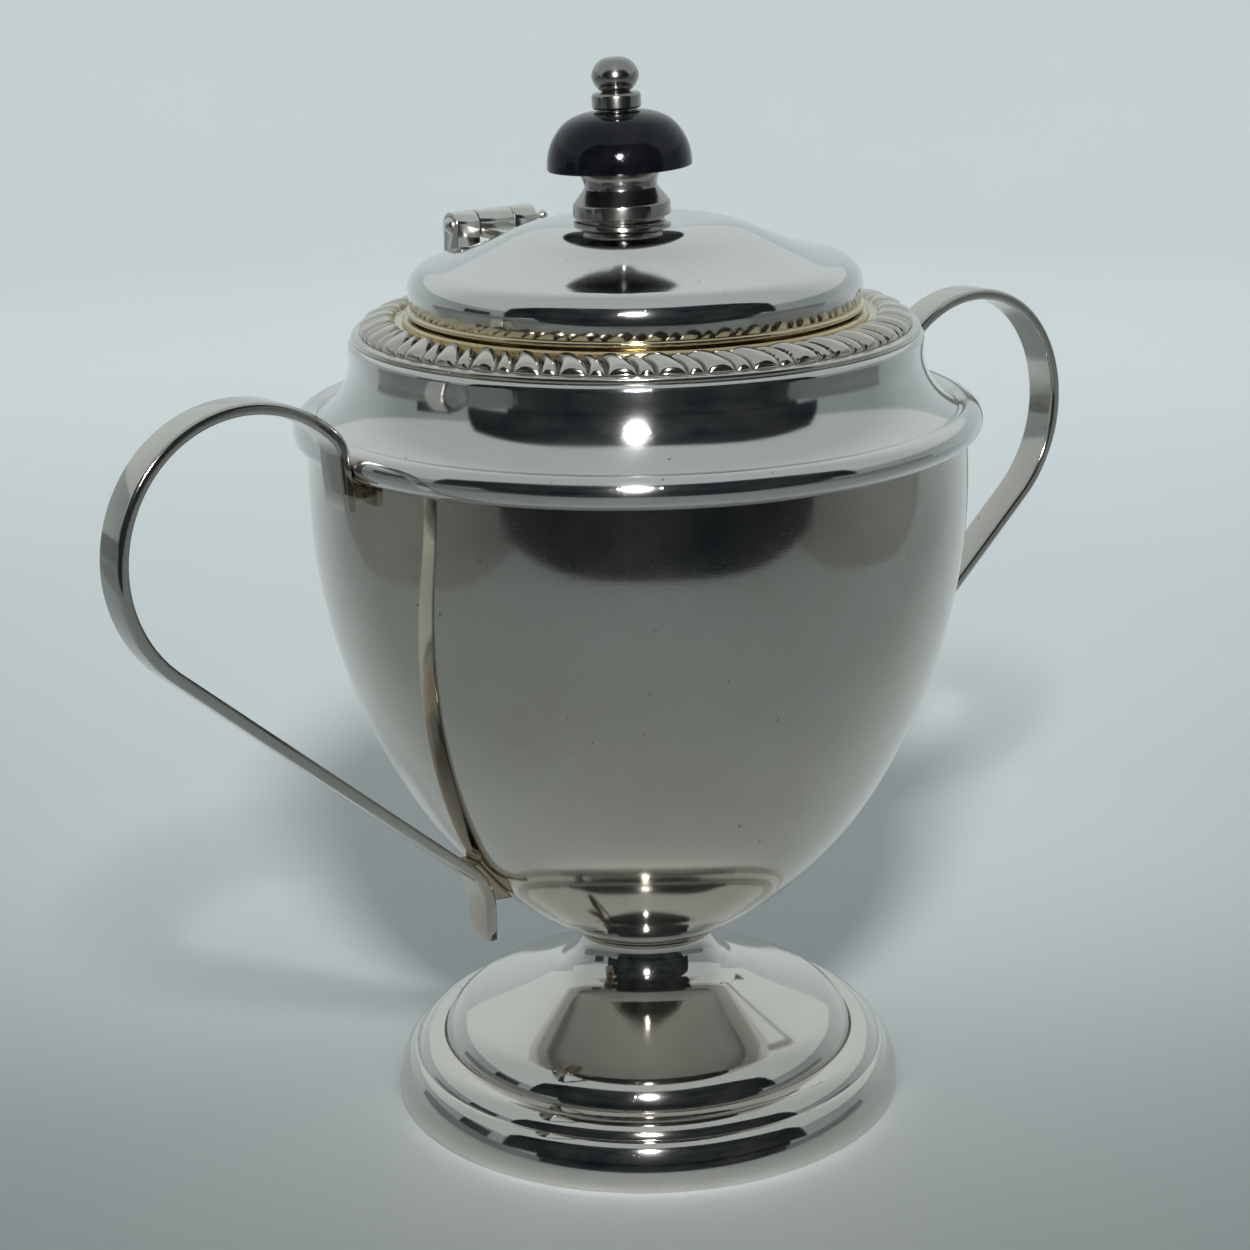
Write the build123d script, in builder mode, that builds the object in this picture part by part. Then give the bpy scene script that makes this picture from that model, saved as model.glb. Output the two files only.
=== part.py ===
from build123d import *
import os
from math import cos, radians, sin

# Lidded sugar bowl of silver plate: spun foot, bowl, cast gadroon border, two flat
# strap handles and a hinged lid with a knobbed finial.
# Frame: origin at the centre of the foot's resting plane, +Z up, handles along X,
# lid hinge at +Y. Everything is in millimetres.

os.makedirs("parts", exist_ok=True)

# ---------------------------------------------------------------- driving dimensions
sheet = 0.9                  # wall of the spun pieces

foot_r = 36.0                # foot, at the resting plane
foot_ledge_r = 29.1          # outside of the disc that sits in the foot's ring
foot_ledge_z = 7.9

bowl_bottom_z = 21.75
bowl_r = 44.5
bowl_top_z = 95.4

band_r = 46.3                # the roll around the shoulder
crease_r = 43.0              # where the roll meets the hollow of the shoulder
crease_z = 99.2
neck_wall_r = 38.45          # near-vertical wall below the gadroon border
flange_z = 109.3             # flat top of the shoulder, under the border
mouth_r = 28.8
mouth_z = 111.9

gadroon_in_r = 31.0
gadroon_out_r = 37.9
gadroon_count = 38

lid_r = 30.3
lid_gap = 0.3                # between the closed lid and the mouth
lid_edge_z = mouth_z + lid_gap
crown_r = 9.0                # flat crown under the finial
crown_z = 124.0
bezel_r = 28.3

strap_width = 5.3
strap_thickness = 1.6
strap_edge_fillet = 0.45

hinge_y = 34.0
hinge_z = 120.3
knuckle_r = 1.85
hinge_half_length = 6.9
leaf_half_length = 2.85
leaf_side_gap = 0.15
pin_r = 0.8

finial_lean = 1.9            # degrees, as the finial is mounted
finial_shift = 1.5           # sideways, the same way
finial_lean_azimuth = 143.0  # degrees from +X
stud_r = 1.45


def save(piece, name):
    piece.part.label = name
    export_step(piece.part, f"parts/{name}.step")


# ------------------------------------------------------------------------------ foot

with BuildPart() as foot_ring:
    # Stepped ring: a full torus outside, a small bead above it and a flat ledge.
    with BuildSketch(Plane.XZ):
        with BuildLine():
            wall = Line((foot_r, 0), (foot_r, 0.6))
            torus = ThreePointArc(wall @ 1, (35.55, 3.5), (34.7, 5.35))
            torus_top = ThreePointArc(torus @ 1, (34.25, 5.9), (33.7, 6.3))
            crease = Line(torus_top @ 1, (33.4, 6.35))
            bead = ThreePointArc(crease @ 1, (32.85, 7.3), (31.9, 8.05))
            bead_top = ThreePointArc(bead @ 1, (31.5, 8.22), (31.0, 8.3))
            ledge = Line(bead_top @ 1, (foot_ledge_r + 0.25, 8.35))
            Polyline(ledge @ 1, (foot_ledge_r + 0.1, foot_ledge_z), (27.4, foot_ledge_z),
                     (27.4, 7.0), (31.4, 6.8), (34.6, 3.2), (34.8, 0), wall @ 0)
        make_face()
    revolve(axis=Axis.Z)
save(foot_ring, "foot_ring")


def bowl_outline():
    """Outside of the bowl from the middle of its bottom to its top edge."""
    bottom = JernArc((0, bowl_bottom_z), (1, 0), 20.4, 27.7)
    belly = ThreePointArc(bottom @ 1, (21.85, 32.5), (31.6, 44.0))
    side = ThreePointArc(belly @ 1, (41.6, 67.0), (bowl_r, 91.5))
    return Line(side @ 1, (bowl_r - 0.1, bowl_top_z))


# The bowl as a filled body: the pieces that are soldered to it are cut to its surface.
with BuildPart() as bowl_filled:
    with BuildSketch(Plane.XZ):
        with BuildLine():
            lip = bowl_outline()
            Polyline(lip @ 1, (0, bowl_top_z), (0, bowl_bottom_z))
        make_face()
    revolve(axis=Axis.Z)

with BuildPart() as foot_stem:
    # Disc with a rolled edge that sweeps up into the stem and flares under the bowl.
    with BuildSketch(Plane.XZ):
        with BuildLine():
            edge = Line((foot_ledge_r, foot_ledge_z), (foot_ledge_r, 8.3))
            roll = ThreePointArc(edge @ 1, (28.3, 10.2), (26.2, 12.0))
            slope = ThreePointArc(roll @ 1, (19.8, 14.4), (13.9, 16.95))
            throat = ThreePointArc(slope @ 1, (12.5, 17.72), (11.55, 18.6))
            neck = ThreePointArc(throat @ 1, (10.05, 20.5), (9.3, 22.7))
            JernArc(neck @ 1, neck % 1, 2.2, -50)
            offset(amount=sheet, side=Side.LEFT)
        make_face()
    revolve(axis=Axis.Z)
    add(bowl_filled.part, mode=Mode.SUBTRACT)
save(foot_stem, "foot_stem")

with BuildPart() as stem_seam:
    # Thin line of solder where the stem meets the bowl.
    with BuildSketch(Plane.XZ):
        with Locations((10.1, 24.1)):
            Circle(0.45)
    revolve(axis=Axis.Z)
    add(bowl_filled.part, mode=Mode.SUBTRACT)
    add(foot_stem.part, mode=Mode.SUBTRACT)
save(stem_seam, "stem_seam")

# ------------------------------------------------------------------ bowl and shoulder

with BuildPart() as bowl_body:
    with BuildSketch(Plane.XZ):
        with BuildLine():
            bowl_outline()
            offset(amount=sheet, side=Side.LEFT)
        make_face()
    revolve(axis=Axis.Z)
save(bowl_body, "bowl_body")

with BuildPart() as shoulder_band:
    # Half-round roll that stands on the bowl's edge and holds the shoulder.
    with BuildSketch(Plane.XZ):
        with BuildLine():
            outside = ThreePointArc((bowl_r - 0.1, bowl_top_z), (band_r, 97.5), (44.5, 99.7))
            shoulder_dip = ThreePointArc(outside @ 1, (43.7, 99.6), (crease_r, crease_z))
            Polyline(shoulder_dip @ 1, (crease_r, 98.0), (bowl_r - sheet - 0.1, bowl_top_z), outside @ 0)
        make_face()
    revolve(axis=Axis.Z)
save(shoulder_band, "shoulder_band")

with BuildPart() as shoulder_cover:
    # Hollow shoulder, its upright neck wall and the flat flange under the border.
    with BuildSketch(Plane.XZ):
        with BuildLine():
            hollow = ThreePointArc((crease_r, crease_z), (39.8, 102.1), (neck_wall_r, 106.8))
            wall = Line(hollow @ 1, (neck_wall_r, flange_z - 1.0))
            turn = JernArc(wall @ 1, (0, 1), 1.0, 90)
            Line(turn @ 1, (mouth_r + 0.8, flange_z))
            offset(amount=0.8, side=Side.LEFT)
        make_face()
    revolve(axis=Axis.Z)
save(shoulder_cover, "shoulder_cover")

with BuildPart() as mouth_collar:
    # Ring that stiffens the mouth: a seat for the lid and a skirt down inside.
    with BuildSketch(Plane.XZ):
        with BuildLine():
            Polyline((mouth_r, 106.0), (mouth_r + 0.8, 106.0), (mouth_r + 0.8, flange_z),
                     (gadroon_in_r, flange_z), (gadroon_in_r, mouth_z - 0.3),
                     (gadroon_in_r - 0.3, mouth_z), (mouth_r, mouth_z), close=True)
        make_face()
    revolve(axis=Axis.Z)
save(mouth_collar, "mouth_collar")

# ----------------------------------------------------------------------------- hinge

hinge_axis = Axis((0, hinge_y, hinge_z), (1, 0, 0))
hinge_foot_top = 112.9

with BuildPart() as hinge_bracket:
    # Two round-topped lugs on a plate let into the gadroon border.
    with BuildSketch(Plane.YZ):
        with Locations((hinge_y, hinge_z)):
            Circle(knuckle_r)
        with Locations((hinge_y, (hinge_z + hinge_foot_top) / 2)):
            Rectangle(2 * knuckle_r, hinge_z - hinge_foot_top)
        with Locations((hinge_y + 0.3, 111.8)):
            Rectangle(5.8, 2.2)
    extrude(amount=hinge_half_length, both=True)
    with BuildSketch(Plane.YZ):
        with Locations((hinge_y, hinge_foot_top + 10)):
            Rectangle(12, 20)
    extrude(amount=leaf_half_length + leaf_side_gap, both=True, mode=Mode.SUBTRACT)
    with BuildSketch(Plane.YZ):
        with Locations((hinge_y, hinge_z)):
            Circle(pin_r + 0.02)
    extrude(amount=2 * hinge_half_length, both=True, mode=Mode.SUBTRACT)
save(hinge_bracket, "hinge_bracket")

with BuildPart() as hinge_pin:
    # Pin with a riveted head on one side and a small ball on the other.
    with BuildSketch(Plane((0, hinge_y, hinge_z), x_dir=(1, 0, 0), z_dir=(0, -1, 0))):
        with BuildLine():
            head = ThreePointArc((-7.6, 0), (-7.4, 0.75), (-hinge_half_length, 1.2))
            neck = Polyline(head @ 1, (-hinge_half_length, pin_r), (7.2, pin_r), (7.5, 0.45), (8.55, 0.45))
            ball = ThreePointArc(neck @ 1, (9.15, 0.75), (9.9, 0))
            Line(ball @ 1, head @ 0)
        make_face()
    revolve(axis=hinge_axis)
save(hinge_pin, "hinge_pin")

# -------------------------------------------------------------------- gadroon border

with BuildPart() as gadroon_border:
    # Cast ring with slanting flutes cut between its lobes, and a plain outer lip.
    with BuildSketch(Plane.XZ):
        with BuildLine():
            inside = Line((gadroon_in_r, flange_z), (gadroon_in_r, 111.2))
            crown = ThreePointArc(inside @ 1, (33.8, 112.2), (36.9, 110.7))
            lip = Polyline(crown @ 1, (37.1, 110.1), (gadroon_out_r - 0.2, 110.0), (gadroon_out_r, 109.8),
                           (gadroon_out_r, flange_z))
            Line(lip @ 1, inside @ 0)
        make_face()
    revolve(axis=Axis.Z)
    with PolarLocations(34.2, gadroon_count, start_angle=180 / gadroon_count):
        with Locations(Location((0, 0, 112.6), (0, 0, 28))):
            Cylinder(radius=0.8, height=9, rotation=(0, 90, 0), mode=Mode.SUBTRACT)
    add(hinge_bracket.part, mode=Mode.SUBTRACT)
save(gadroon_border, "gadroon_border")

# --------------------------------------------------------------------------- handles

with BuildPart() as handle_right:
    # Flat strap: up the shoulder, over in a round loop, down in a long straight run
    # to the bowl, and a short free tail.
    with BuildSketch(Plane.XZ):
        with BuildLine() as strap:
            tip = Line((46.75, 92.3), (47.25, 99.4))
            shoulder_bend = JernArc(tip @ 1, tip % 1, 4.0, -40)
            over = JernArc(shoulder_bend @ 1, shoulder_bend % 1, 17.2, -105.4)
            under = JernArc(over @ 1, over % 1, 18.4, -79.5)
            run = Line(under @ 1, under @ 1 + (under % 1) * 54.8)
            heel = JernArc(run @ 1, run % 1, 7.75, 49)
            Line(heel @ 1, heel @ 1 + (heel % 1) * 4.5)
        trace(strap.wires(), line_width=strap_thickness)
    extrude(amount=strap_width / 2, both=True)
    fillet(handle_right.faces().filter_by(Axis.Y).edges(), radius=strap_edge_fillet)
save(handle_right, "handle_right")

with BuildPart() as handle_left:
    mirror(handle_right.part, about=Plane.YZ)
save(handle_left, "handle_left")

with BuildPart() as upper_solder:
    # Fills the wedge between the strap's tip, the bowl's wall and the roll.
    with BuildSketch(Plane.XZ):
        with BuildLine():
            Polyline((43.5, 92.9), (46.4, 93.6), (46.6, 96.4), (43.5, 96.4), close=True)
        make_face()
    extrude(amount=2.0, both=True)
    add(bowl_filled.part, mode=Mode.SUBTRACT)
    add(shoulder_band.part, mode=Mode.SUBTRACT)
    add(handle_right.part, mode=Mode.SUBTRACT)

with BuildPart() as lower_solder:
    # Fills the gap between the strap's heel and the underside of the bowl.
    with BuildSketch(Plane.XZ):
        with BuildLine():
            Polyline(run @ 1 - (run % 1) * 1.5, run @ 1, (27.7, 34.6), (24.0, 34.2), (28.2, 40.6), close=True)
        make_face()
    extrude(amount=1.9, both=True)
    add(bowl_filled.part, mode=Mode.SUBTRACT)
    add(handle_right.part, mode=Mode.SUBTRACT)

for place, blob in (("upper", upper_solder), ("lower", lower_solder)):
    with BuildPart() as right_blob:
        add(blob.part)
    save(right_blob, f"handle_right_{place}_solder")
    with BuildPart() as left_blob:
        mirror(blob.part, about=Plane.YZ)
    save(left_blob, f"handle_left_{place}_solder")

# ------------------------------------------------------------------------------- lid


def lid_outline():
    """Outside of the lid from the middle of its crown down to its edge."""
    crown = Line((0, crown_z), (crown_r, crown_z))
    dome = JernArc(crown @ 1, (1, 0), 19.0, -26.5)
    hollow = JernArc(dome @ 1, dome % 1, 36.0, 14.0)
    slope = Line(hollow @ 1, hollow @ 1 + (hollow % 1) * 1.94)
    corner = JernArc(slope @ 1, slope % 1, 3.4, -77.5)
    return Line(corner @ 1, ((corner @ 1).X, lid_edge_z))


lean = radians(finial_lean)
lean_way = (cos(radians(finial_lean_azimuth)), sin(radians(finial_lean_azimuth)))
finial_seat = Plane(
    origin=(finial_shift * lean_way[0], finial_shift * lean_way[1], crown_z),
    x_dir=(lean_way[1], -lean_way[0], 0),
    z_dir=(sin(lean) * lean_way[0], sin(lean) * lean_way[1], cos(lean)),
)
finial_axis = Axis(finial_seat.origin, finial_seat.z_dir)
finial_section = Plane(
    origin=finial_seat.origin,
    x_dir=finial_seat.x_dir,
    z_dir=finial_seat.x_dir.cross(finial_seat.z_dir),
)
lid_hole_r = stud_r + 0.25

with BuildPart() as lid_filled:
    with BuildSketch(Plane.XZ):
        with BuildLine():
            rim = lid_outline()
            Polyline(rim @ 1, (0, lid_edge_z), (0, crown_z))
        make_face()
    revolve(axis=Axis.Z)

with BuildPart() as lid_shell:
    with BuildSketch(Plane.XZ):
        with BuildLine():
            lid_outline()
            offset(amount=sheet, side=Side.RIGHT)
        make_face()
    revolve(axis=Axis.Z)
    with BuildSketch(finial_seat.offset(-3)):
        Circle(lid_hole_r)
    extrude(amount=6, mode=Mode.SUBTRACT)
save(lid_shell, "lid_shell")

with BuildPart() as lid_edge_wire:
    # Half-round wire around the outside of the lid's edge.
    with BuildSketch(Plane.XZ):
        with BuildLine():
            bulge = ThreePointArc((lid_r, lid_edge_z), (lid_r + 0.5, lid_edge_z + 0.55), (lid_r, lid_edge_z + 1.1))
            Line(bulge @ 1, bulge @ 0)
        make_face()
    revolve(axis=Axis.Z)
    add(lid_filled.part, mode=Mode.SUBTRACT)
save(lid_edge_wire, "lid_edge_wire")

with BuildPart() as lid_bezel:
    # Angle ring inside the lid, whose skirt drops into the mouth.
    with BuildSketch(Plane.XZ):
        with BuildLine():
            Polyline((bezel_r - 0.6, 109.7), (bezel_r, 109.7), (bezel_r, 113.2), (lid_r - sheet, 113.2),
                     (lid_r - sheet, 114.0), (bezel_r - 0.6, 114.0), close=True)
        make_face()
    revolve(axis=Axis.Z)
save(lid_bezel, "lid_bezel")

with BuildPart() as hinge_leaf:
    # Knuckle between the lugs, with a strap soldered over the lid's shoulder.
    with BuildSketch(Plane.YZ):
        with Locations((hinge_y, hinge_z)):
            Circle(knuckle_r)
    extrude(amount=leaf_half_length, both=True)
    with BuildSketch(Plane.XY.offset(hinge_z - knuckle_r)):
        with Locations((0, 29.2)):
            RectangleRounded(2 * leaf_half_length, 9.6, 1.6)
    extrude(amount=1.3)
    add(lid_filled.part, mode=Mode.SUBTRACT)
    with BuildSketch(Plane.YZ):
        with Locations((hinge_y, hinge_z)):
            Circle(pin_r + 0.05)
    extrude(amount=2 * leaf_half_length, both=True, mode=Mode.SUBTRACT)
save(hinge_leaf, "hinge_leaf")

# ---------------------------------------------------------------------------- finial
# Heights in these sections are measured along the finial's own axis from the crown.

knob_foot = 6.7
knob_top = 14.1
cap_foot = 14.4

with BuildPart() as finial_spool:
    with BuildSketch(finial_section):
        with BuildLine():
            foot = Polyline((stud_r + 0.05, -0.4), (5.8, -0.4), (5.8, 0.35), (6.4, 0.45), (6.5, 0.6), (6.5, 2.0))
            rounding = ThreePointArc(foot @ 1, (6.44, 2.2), (6.3, 2.38))
            cone = Line(rounding @ 1, (4.9, 4.15))
            waist = ThreePointArc(cone @ 1, (5.1, 5.5), (6.1, 6.5))
            Polyline(waist @ 1, (6.2, knob_foot), (stud_r + 0.05, knob_foot), foot @ 0)
        make_face()
    revolve(axis=finial_axis)
    split(bisect_by=Plane.XY.offset(crown_z), keep=Keep.TOP)
save(finial_spool, "finial_spool")

with BuildPart() as finial_knob:
    with BuildSketch(finial_section):
        with BuildLine():
            lower = Line((stud_r + 0.05, knob_foot), (9.3, knob_foot))
            arris = ThreePointArc(lower @ 1, (9.52, 6.8), (9.6, 7.1))
            dome = Spline(arris @ 1, (9.0, 10.1), (7.1, 12.7), (3.2, knob_top), tangents=((0, 1), (-1, 0.1)))
            Polyline(dome @ 1, (stud_r + 0.05, knob_top), lower @ 0)
        make_face()
    revolve(axis=finial_axis)
save(finial_knob, "finial_knob")

with BuildPart() as finial_washer:
    with BuildSketch(finial_seat.offset(knob_top)):
        Circle(2.7)
        Circle(stud_r + 0.05, mode=Mode.SUBTRACT)
    extrude(amount=cap_foot - knob_top)
save(finial_washer, "finial_washer")

with BuildPart() as finial_cap:
    # Collar and ball turned in one, with a blind hole for the stud.
    with BuildSketch(finial_section):
        with BuildLine():
            collar = Polyline((0, cap_foot), (3.05, cap_foot), (3.25, cap_foot + 0.2), (3.25, 15.9))
            shoulder = ThreePointArc(collar @ 1, (3.05, 16.35), (2.5, 16.5))
            neck = Line(shoulder @ 1, (1.7, 16.6))
            ball = Spline(neck @ 1, (3.13, 18.5), (2.0, 20.55), (0, 21.0), tangents=((1, 0.2), (-1, 0)))
            Line(ball @ 1, collar @ 0)
        make_face()
    revolve(axis=finial_axis)
    with BuildSketch(finial_seat.offset(cap_foot)):
        Circle(stud_r)
    extrude(amount=1.6, mode=Mode.SUBTRACT)
save(finial_cap, "finial_cap")

with BuildPart() as finial_stud:
    with BuildSketch(finial_seat.offset(-5.5)):
        Circle(stud_r)
    extrude(amount=5.5 + cap_foot + 1.5)
save(finial_stud, "finial_stud")

washer_top = crown_z - sheet
washer_foot = washer_top - 0.6

with BuildPart() as lid_washer:
    with BuildSketch(Plane.XY.offset(washer_foot)):
        with Locations((finial_seat.origin.X, finial_seat.origin.Y)):
            Circle(4.0)
            Circle(lid_hole_r, mode=Mode.SUBTRACT)
    extrude(amount=washer_top - washer_foot)
save(lid_washer, "lid_washer")

with BuildPart() as lid_nut:
    with BuildSketch(finial_seat.offset(-3.9)):
        RegularPolygon(radius=2.9, side_count=6)
        Circle(stud_r, mode=Mode.SUBTRACT)
    extrude(amount=3.0)
    split(bisect_by=Plane.XY.offset(washer_foot), keep=Keep.BOTTOM)
save(lid_nut, "lid_nut")
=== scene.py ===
import math

import bmesh
import bpy
import numpy as np
from mathutils import Matrix, Vector


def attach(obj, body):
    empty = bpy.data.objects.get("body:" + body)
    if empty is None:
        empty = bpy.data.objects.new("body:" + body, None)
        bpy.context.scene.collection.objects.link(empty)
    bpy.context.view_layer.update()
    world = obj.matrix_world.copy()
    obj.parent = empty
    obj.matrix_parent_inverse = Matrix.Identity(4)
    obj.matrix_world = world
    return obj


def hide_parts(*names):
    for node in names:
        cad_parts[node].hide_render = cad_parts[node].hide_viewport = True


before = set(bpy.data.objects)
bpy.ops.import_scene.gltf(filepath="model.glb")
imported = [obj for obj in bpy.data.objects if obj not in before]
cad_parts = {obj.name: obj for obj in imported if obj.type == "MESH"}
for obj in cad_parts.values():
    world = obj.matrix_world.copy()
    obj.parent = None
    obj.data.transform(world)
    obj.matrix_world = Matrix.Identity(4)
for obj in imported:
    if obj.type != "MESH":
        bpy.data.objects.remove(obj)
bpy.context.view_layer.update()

MM = 0.001
SEGMENTS = 288                         # faces round a turned piece
CAMERA_AZIMUTH = math.radians(233.0)   # where the camera of the main view stands, from +X
CREASE = math.radians(16)              # profile corners sharper than this get a small radius

# Sizes that several pieces share, in millimetres as in the CAD model.
SHEET = 0.9                            # wall of the spun pieces
FOOT_R = 36
LEDGE_R, LEDGE_Z = 29.1, 7.9           # the ledge of the foot's ring that holds its disc
BOWL_BOTTOM_Z = 21.75
BOWL_EDGE = (44.4, 95.4)
SHOULDER_CREASE = (43.0, 99.2)         # where the roll meets the hollow
NECK_WALL_R = 38.45
FLANGE_Z = 109.3                       # flat top of the shoulder, under the border
MOUTH_R, MOUTH_Z = 28.8, 111.9
BORDER_IN_R, BORDER_OUT_R = 31.0, 37.9
LOBES = 38
LID_EDGE_Z = 112.2
CROWN_Z = 124.0                        # flat crown of the lid, under the finial
HINGE_Y, HINGE_Z = 34, 120.3
FINIAL_LEAN = math.radians(1.9)
FINIAL_WAY = math.radians(143)         # the way the finial leans and is shifted, from +X
FINIAL_SHIFT = 1.5
STUD_R = 1.45
STUD_HOLE_R = 1.5                      # in the pieces of the finial
KNOB_FOOT, KNOB_TOP, CAP_FOOT = 6.7, 14.1, 14.4   # along the finial's axis, from the crown

# Colours that several materials share.
GOLDEN = (0.68, 0.58, 0.38)
# Painted shade, laid down in the grooves between the lobes of the border.
GROOVE_SHADE = (0.07, 0.06, 0.05)
SPECK = (0.16, 0.13, 0.10)

# ------------------------------------------------------------------------- profiles
# A profile is a list of (radius, height) pairs in millimetres.


def arc(a, m, b, step=3.0):
    """Points on the circle through a, m and b, without a itself."""
    a, m, b = (np.array(p, float) for p in (a, m, b))
    lhs = np.array([2 * (m - a), 2 * (b - a)])
    rhs = np.array([m @ m - a @ a, b @ b - a @ a])
    centre = np.linalg.solve(lhs, rhs)
    radius = np.linalg.norm(a - centre)
    t0, tm, t1 = (math.atan2(*(p - centre)[::-1]) for p in (a, m, b))
    sweep_m = (tm - t0) % (2 * math.pi)
    sweep_1 = (t1 - t0) % (2 * math.pi)
    if sweep_m > sweep_1:
        sweep_1 -= 2 * math.pi
    n = max(3, int(abs(math.degrees(sweep_1)) / step))
    return [tuple(centre + radius * np.array([math.cos(t), math.sin(t)]))
            for t in (t0 + sweep_1 * k / n for k in range(1, n + 1))]


def bend(p, heading, radius, turn, step=3.0):
    """An arc of that radius from p, leaving at heading; returns its points, and the new heading."""
    n = max(3, int(abs(turn) / step))
    a0, side = math.radians(heading), math.copysign(1, turn)
    centre = (p[0] - radius * side * math.sin(a0), p[1] + radius * side * math.cos(a0))
    points = []
    for k in range(1, n + 1):
        a = a0 + math.radians(turn) * k / n
        points.append((centre[0] + radius * side * math.sin(a), centre[1] - radius * side * math.cos(a)))
    return points, heading + turn


def ahead(p, heading, length):
    """The point that far from p along a heading in degrees."""
    a = math.radians(heading)
    return (p[0] + length * math.cos(a), p[1] + length * math.sin(a))


def curve(points, start=None, end=None, n=10):
    """A smooth cubic through the points, with the given directions at its ends."""
    p = np.array(points, float)
    chords = np.linalg.norm(np.diff(p, axis=0), axis=1)
    m = np.zeros_like(p)
    for k in range(1, len(p) - 1):
        m[k] = ((p[k + 1] - p[k]) / chords[k] * chords[k - 1] + (p[k] - p[k - 1]) / chords[k - 1] * chords[k])
        m[k] /= chords[k] + chords[k - 1]
    m[0] = np.array(start) / np.linalg.norm(start) if start else (p[1] - p[0]) / chords[0]
    m[-1] = np.array(end) / np.linalg.norm(end) if end else (p[-1] - p[-2]) / chords[-1]
    out = []
    for k, h in enumerate(chords):
        for t in np.linspace(0, 1, n + 1)[1:]:
            a, b = 2 * t**3 - 3 * t**2 + 1, t**3 - 2 * t**2 + t
            c, d = -2 * t**3 + 3 * t**2, t**3 - t**2
            out.append(tuple(a * p[k] + b * h * m[k] + c * p[k + 1] + d * h * m[k + 1]))
    return out


def inset(points, amount):
    """The same line moved sideways: to the right of its direction for a positive amount."""
    p = np.array(points, float)
    d = np.gradient(p, axis=0)
    d /= np.linalg.norm(d, axis=1)[:, None]
    return [tuple(q) for q in p + amount * np.stack([d[:, 1], -d[:, 0]], axis=1)]


def soften(points, radius=0.12, closed=True):
    """Rounds the sharp corners of a profile, and adds a line beside each so that flats shade flat."""
    p = [np.array(q, float) for q in points]
    if closed and np.linalg.norm(p[0] - p[-1]) < 1e-6:
        p.pop()
    n, out = len(p), []
    for k in range(n):
        if not closed and k in (0, n - 1):
            out.append(p[k])
            continue
        a, q, b = p[k - 1], p[k], p[(k + 1) % n]
        u, v = a - q, b - q
        lu, lv = np.linalg.norm(u), np.linalg.norm(v)
        u, v = u / lu, v / lv
        turn = math.acos(max(-1, min(1, float(-u @ v))))
        if turn < CREASE:
            out.append(q)
            continue
        d = min(radius * math.tan(turn / 2), 0.42 * lu, 0.42 * lv, 1.5 * radius)
        if lu > 5 * d:
            out.append(q + u * d * 1.5)
        for t in (0, 0.25, 0.5, 0.75, 1):
            out.append(q + u * d * (1 - t) ** 2 + v * d * t**2)
        if lv > 5 * d:
            out.append(q + v * d * 1.5)
    return [tuple(q) for q in out]


# --------------------------------------------------------------------------- meshes


def new_object(name, verts, faces, material=None, smooth=True):
    mesh = bpy.data.meshes.new(name)
    mesh.from_pydata([tuple(v) for v in verts], [], faces)
    mesh.validate()
    if smooth:
        mesh.polygons.foreach_set("use_smooth", [True] * len(mesh.polygons))
    mesh.update()
    obj = bpy.data.objects.new(name, mesh)
    bpy.context.scene.collection.objects.link(obj)
    if material:
        mesh.materials.append(material)
    return obj


def lathe(name, profile, material, body, nodes, closed=True, place=None,
          segments=SEGMENTS, wobble=None):
    """Turns a profile about Z. place moves it; wobble(angle, r, z) may shift a point's radius and height."""
    profile = [(max(r, 0.0), z) for r, z in profile]
    verts, rings = [], []
    for r, z in profile:
        if r < 1e-5:
            rings.append([len(verts)])
            verts.append((0, 0, z))
            continue
        ring = []
        for k in range(segments):
            a = 2 * math.pi * k / segments
            dr, dz = wobble(a, r, z) if wobble else (0, 0)
            ring.append(len(verts))
            verts.append(((r + dr) * math.cos(a), (r + dr) * math.sin(a), z + dz))
        rings.append(ring)
    pairs = list(zip(rings[:-1], rings[1:]))
    if closed:
        pairs.append((rings[-1], rings[0]))
    faces = []
    for low, high in pairs:
        for k in range(segments):
            j = (k + 1) % segments
            if len(low) == 1 and len(high) == 1:
                break
            if len(low) == 1:
                faces.append((low[0], high[j], high[k]))
            elif len(high) == 1:
                faces.append((low[k], low[j], high[0]))
            else:
                faces.append((low[k], low[j], high[j], high[k]))
    v = np.array(verts) * MM
    if place is not None:
        m = np.array(place)
        v = v @ m[:3, :3].T + m[:3, 3]
    obj = new_object(name, v, faces, material)
    face_out(obj)
    return settle(obj, body, nodes)


def face_out(obj):
    """Makes a closed mesh's faces point outwards."""
    mesh = obj.data
    mesh.calc_loop_triangles()
    co = np.array([v.co for v in mesh.vertices])
    tri = np.array([t.vertices for t in mesh.loop_triangles])
    a, b, c = co[tri[:, 0]], co[tri[:, 1]], co[tri[:, 2]]
    if np.einsum("ij,ij->i", a, np.cross(b, c)).sum() < 0:
        mesh.flip_normals()


def settle(obj, body, nodes):
    """Puts a finished piece on its body, in the place of its CAD nodes."""
    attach(obj, body)
    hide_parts(*nodes)
    return obj


# ------------------------------------------------------------------------ materials


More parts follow.
